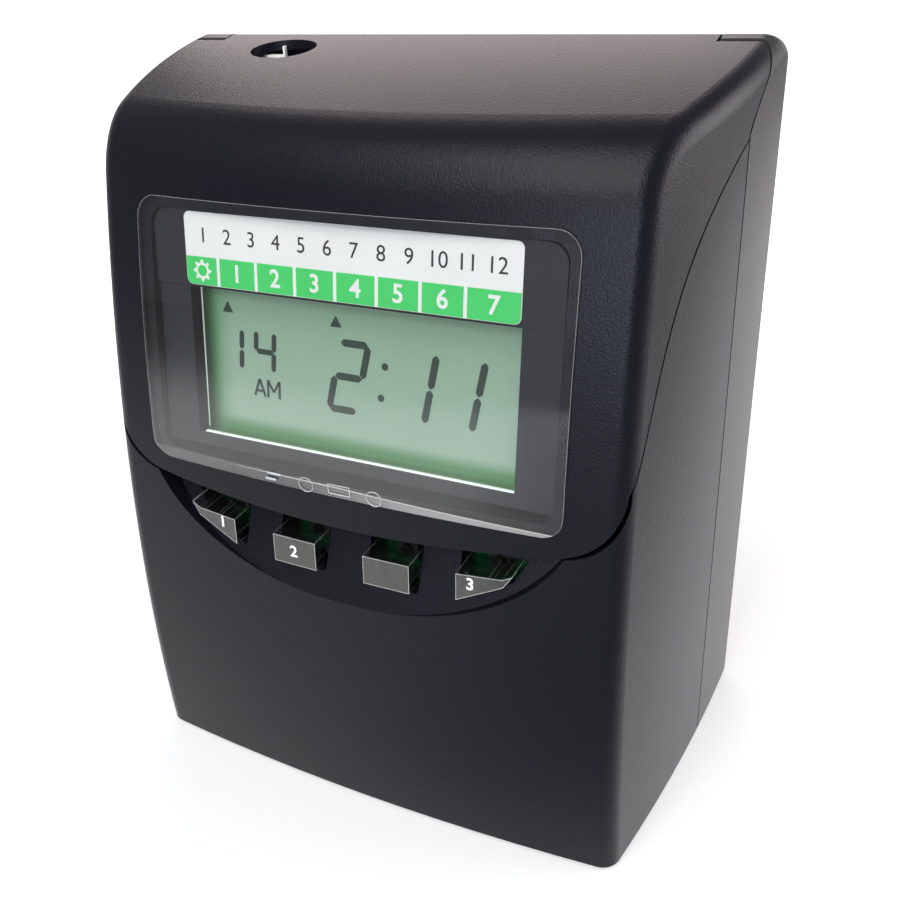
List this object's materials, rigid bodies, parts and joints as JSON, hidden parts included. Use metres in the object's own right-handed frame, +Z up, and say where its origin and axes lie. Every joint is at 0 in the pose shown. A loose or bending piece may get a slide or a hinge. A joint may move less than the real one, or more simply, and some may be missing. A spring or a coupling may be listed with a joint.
{
  "type": "date and time stamp machine",
  "caption": "Electronic card time clock: crowned casing with a lift-off hood, calendar display, smile-shaped key recess, top card slot and a dot-matrix stamping mechanism",
  "frame": {"origin": "on the desk, under the middle of the casing's bounding box", "axes": "+X to the right seen from the front, +Y to the back, +Z up; the display faces -Y"},
  "size_m": [0.173, 0.094, 0.2012],
  "materials": {
    "casing_plastic": "fine spark-textured charcoal plastic",
    "window_clear": "clear polished plastic",
    "bezel_plastic": "satin dark plastic",
    "legend_film": "printed film, white above green",
    "lcd_glass": "grey-green display glass",
    "backlight_plastic": "white diffuser",
    "key_plastic": "smoked hollow caps",
    "switch_plastic": "moulded plastic",
    "plunger_plastic": "moulded plastic",
    "circuit_board": "glass-fibre board with green solder mask",
    "component_plastic": "moulded component bodies",
    "battery_wrap": "shrink-wrapped cells",
    "sheet_steel": "zinc-plated sheet",
    "ground_steel": "ground rod",
    "spring_steel": "thin leaf",
    "rubber_black": "moulded rubber",
    "platen_rubber": "hard rubber",
    "acetal_white": "low-friction moulded plastic",
    "carriage_plastic": "moulded plastic",
    "head_metal": "cast print head body",
    "motor_metal": "drawn steel can",
    "bronze": "sintered bronze",
    "lock_metal": "nickel-plated zinc",
    "lock_brass": "turned brass",
    "ribbon_fabric": "inked nylon",
    "cassette_plastic": "moulded plastic"
  },
  "bodies": {
    "case": {"rear_shell": "casing_plastic", "lower_cover": "casing_plastic", "display_bezel": "bezel_plastic", "legend_strip": "legend_film", "lcd_panel": "lcd_glass", "lcd_backlight": "backlight_plastic", "display_bracket": "sheet_steel", "key_switches": "switch_plastic", "button_board": "circuit_board", "card_guide_front": "sheet_steel", "card_guide_rear": "sheet_steel", "platen": "platen_rubber", "card_stop": "acetal_white", "card_pressure_spring": "spring_steel", "side_frame_left": "sheet_steel", "side_frame_right": "sheet_steel", "main_board": "circuit_board", "board_chips": "component_plastic", "backup_battery": "battery_wrap", "buzzer": "component_plastic", "main_rod": "ground_steel", "steady_rod": "ground_steel", "drive_plate": "sheet_steel", "carriage_motor": "motor_metal", "idler_pin": "ground_steel", "drive_belt": "rubber_black", "cassette_tray": "sheet_steel", "ribbon_cassette": "cassette_plastic", "ribbon": "ribbon_fabric", "feed_motor": "motor_metal", "feed_bushes": "bronze", "lock_bracket": "sheet_steel", "lock_barrel": "lock_metal", "lock_nut": "lock_metal", "power_inlet": "switch_plastic", "rubber_feet": "rubber_black"},
    "hood": {"hood": "casing_plastic", "display_window": "window_clear"},
    "lock": {"lock_plug": "lock_brass", "lock_cam": "lock_metal"},
    "carriage": {"print_carriage": "carriage_plastic", "carriage_bushes": "bronze", "print_head": "head_metal"},
    "drive": {"drive_pulley": "acetal_white"},
    "idler": {"idler_pulley": "acetal_white"},
    "feed": {"feed_shaft": "ground_steel", "feed_rollers": "rubber_black", "feed_gear": "acetal_white"},
    "pinion": {"feed_pinion": "acetal_white"},
    "winder": {"ribbon_knob": "acetal_white"},
    "in_key": {"key_in": "key_plastic", "plunger_in": "plunger_plastic"},
    "out_key": {"key_out": "key_plastic", "plunger_out": "plunger_plastic"},
    "blank_key": {"key_blank": "key_plastic", "plunger_blank": "plunger_plastic"},
    "enter_key": {"key_enter": "key_plastic", "plunger_enter": "plunger_plastic"}
  },
  "joints": [
    {"name": "hood_lift", "type": "slide", "parent": "case", "child": "hood", "axis": [0, 0, 1], "range_m": [0, 0.07]},
    {"name": "lock_turn", "type": "hinge", "parent": "case", "child": "lock", "pos_m": [-0.046, 0.028, 0.178], "axis": [0, 0, -1], "range_deg": [0, 90]},
    {"name": "carriage_slide", "type": "slide", "parent": "case", "child": "carriage", "axis": [1, 0, 0], "range_m": [-0.032, 0.032]},
    {"name": "drive_spin", "type": "hinge", "parent": "case", "child": "drive", "pos_m": [-0.048, 0.0092, 0.11], "axis": [0, 1, 0], "range_deg": [-300, 300]},
    {"name": "idler_spin", "type": "hinge", "parent": "case", "child": "idler", "pos_m": [0.05, 0.0092, 0.11], "axis": [0, 1, 0], "range_deg": [-300, 300]},
    {"name": "feed_spin", "type": "hinge", "parent": "case", "child": "feed", "pos_m": [0, 0.0338, 0.08], "axis": [1, 0, 0], "continuous": true},
    {"name": "pinion_spin", "type": "hinge", "parent": "case", "child": "pinion", "pos_m": [0.07, 0.01997, 0.076], "axis": [1, 0, 0], "continuous": true},
    {"name": "winder_spin", "type": "hinge", "parent": "case", "child": "winder", "pos_m": [-0.036, 0.022, 0.15], "axis": [0, 0, 1], "continuous": true},
    {"name": "in_press", "type": "slide", "parent": "case", "child": "in_key", "axis": [0, 1, 0], "range_m": [0, 0.0008], "stiffness_N_per_m": 400, "springref_m": -0.0004},
    {"name": "out_press", "type": "slide", "parent": "case", "child": "out_key", "axis": [0, 1, 0], "range_m": [0, 0.0008], "stiffness_N_per_m": 400, "springref_m": -0.0004},
    {"name": "blank_press", "type": "slide", "parent": "case", "child": "blank_key", "axis": [0, 1, 0], "range_m": [0, 0.0008], "stiffness_N_per_m": 400, "springref_m": -0.0004},
    {"name": "enter_press", "type": "slide", "parent": "case", "child": "enter_key", "axis": [0, 1, 0], "range_m": [0, 0.0008], "stiffness_N_per_m": 400, "springref_m": -0.0004}
  ],
  "couplings": [
    {"joint": "drive_spin", "follows": "carriage_slide", "rad_per_m": 153.85},
    {"joint": "idler_spin", "follows": "carriage_slide", "rad_per_m": 153.85},
    {"joint": "pinion_spin", "follows": "feed_spin", "ratio": -1.5714}
  ]
}
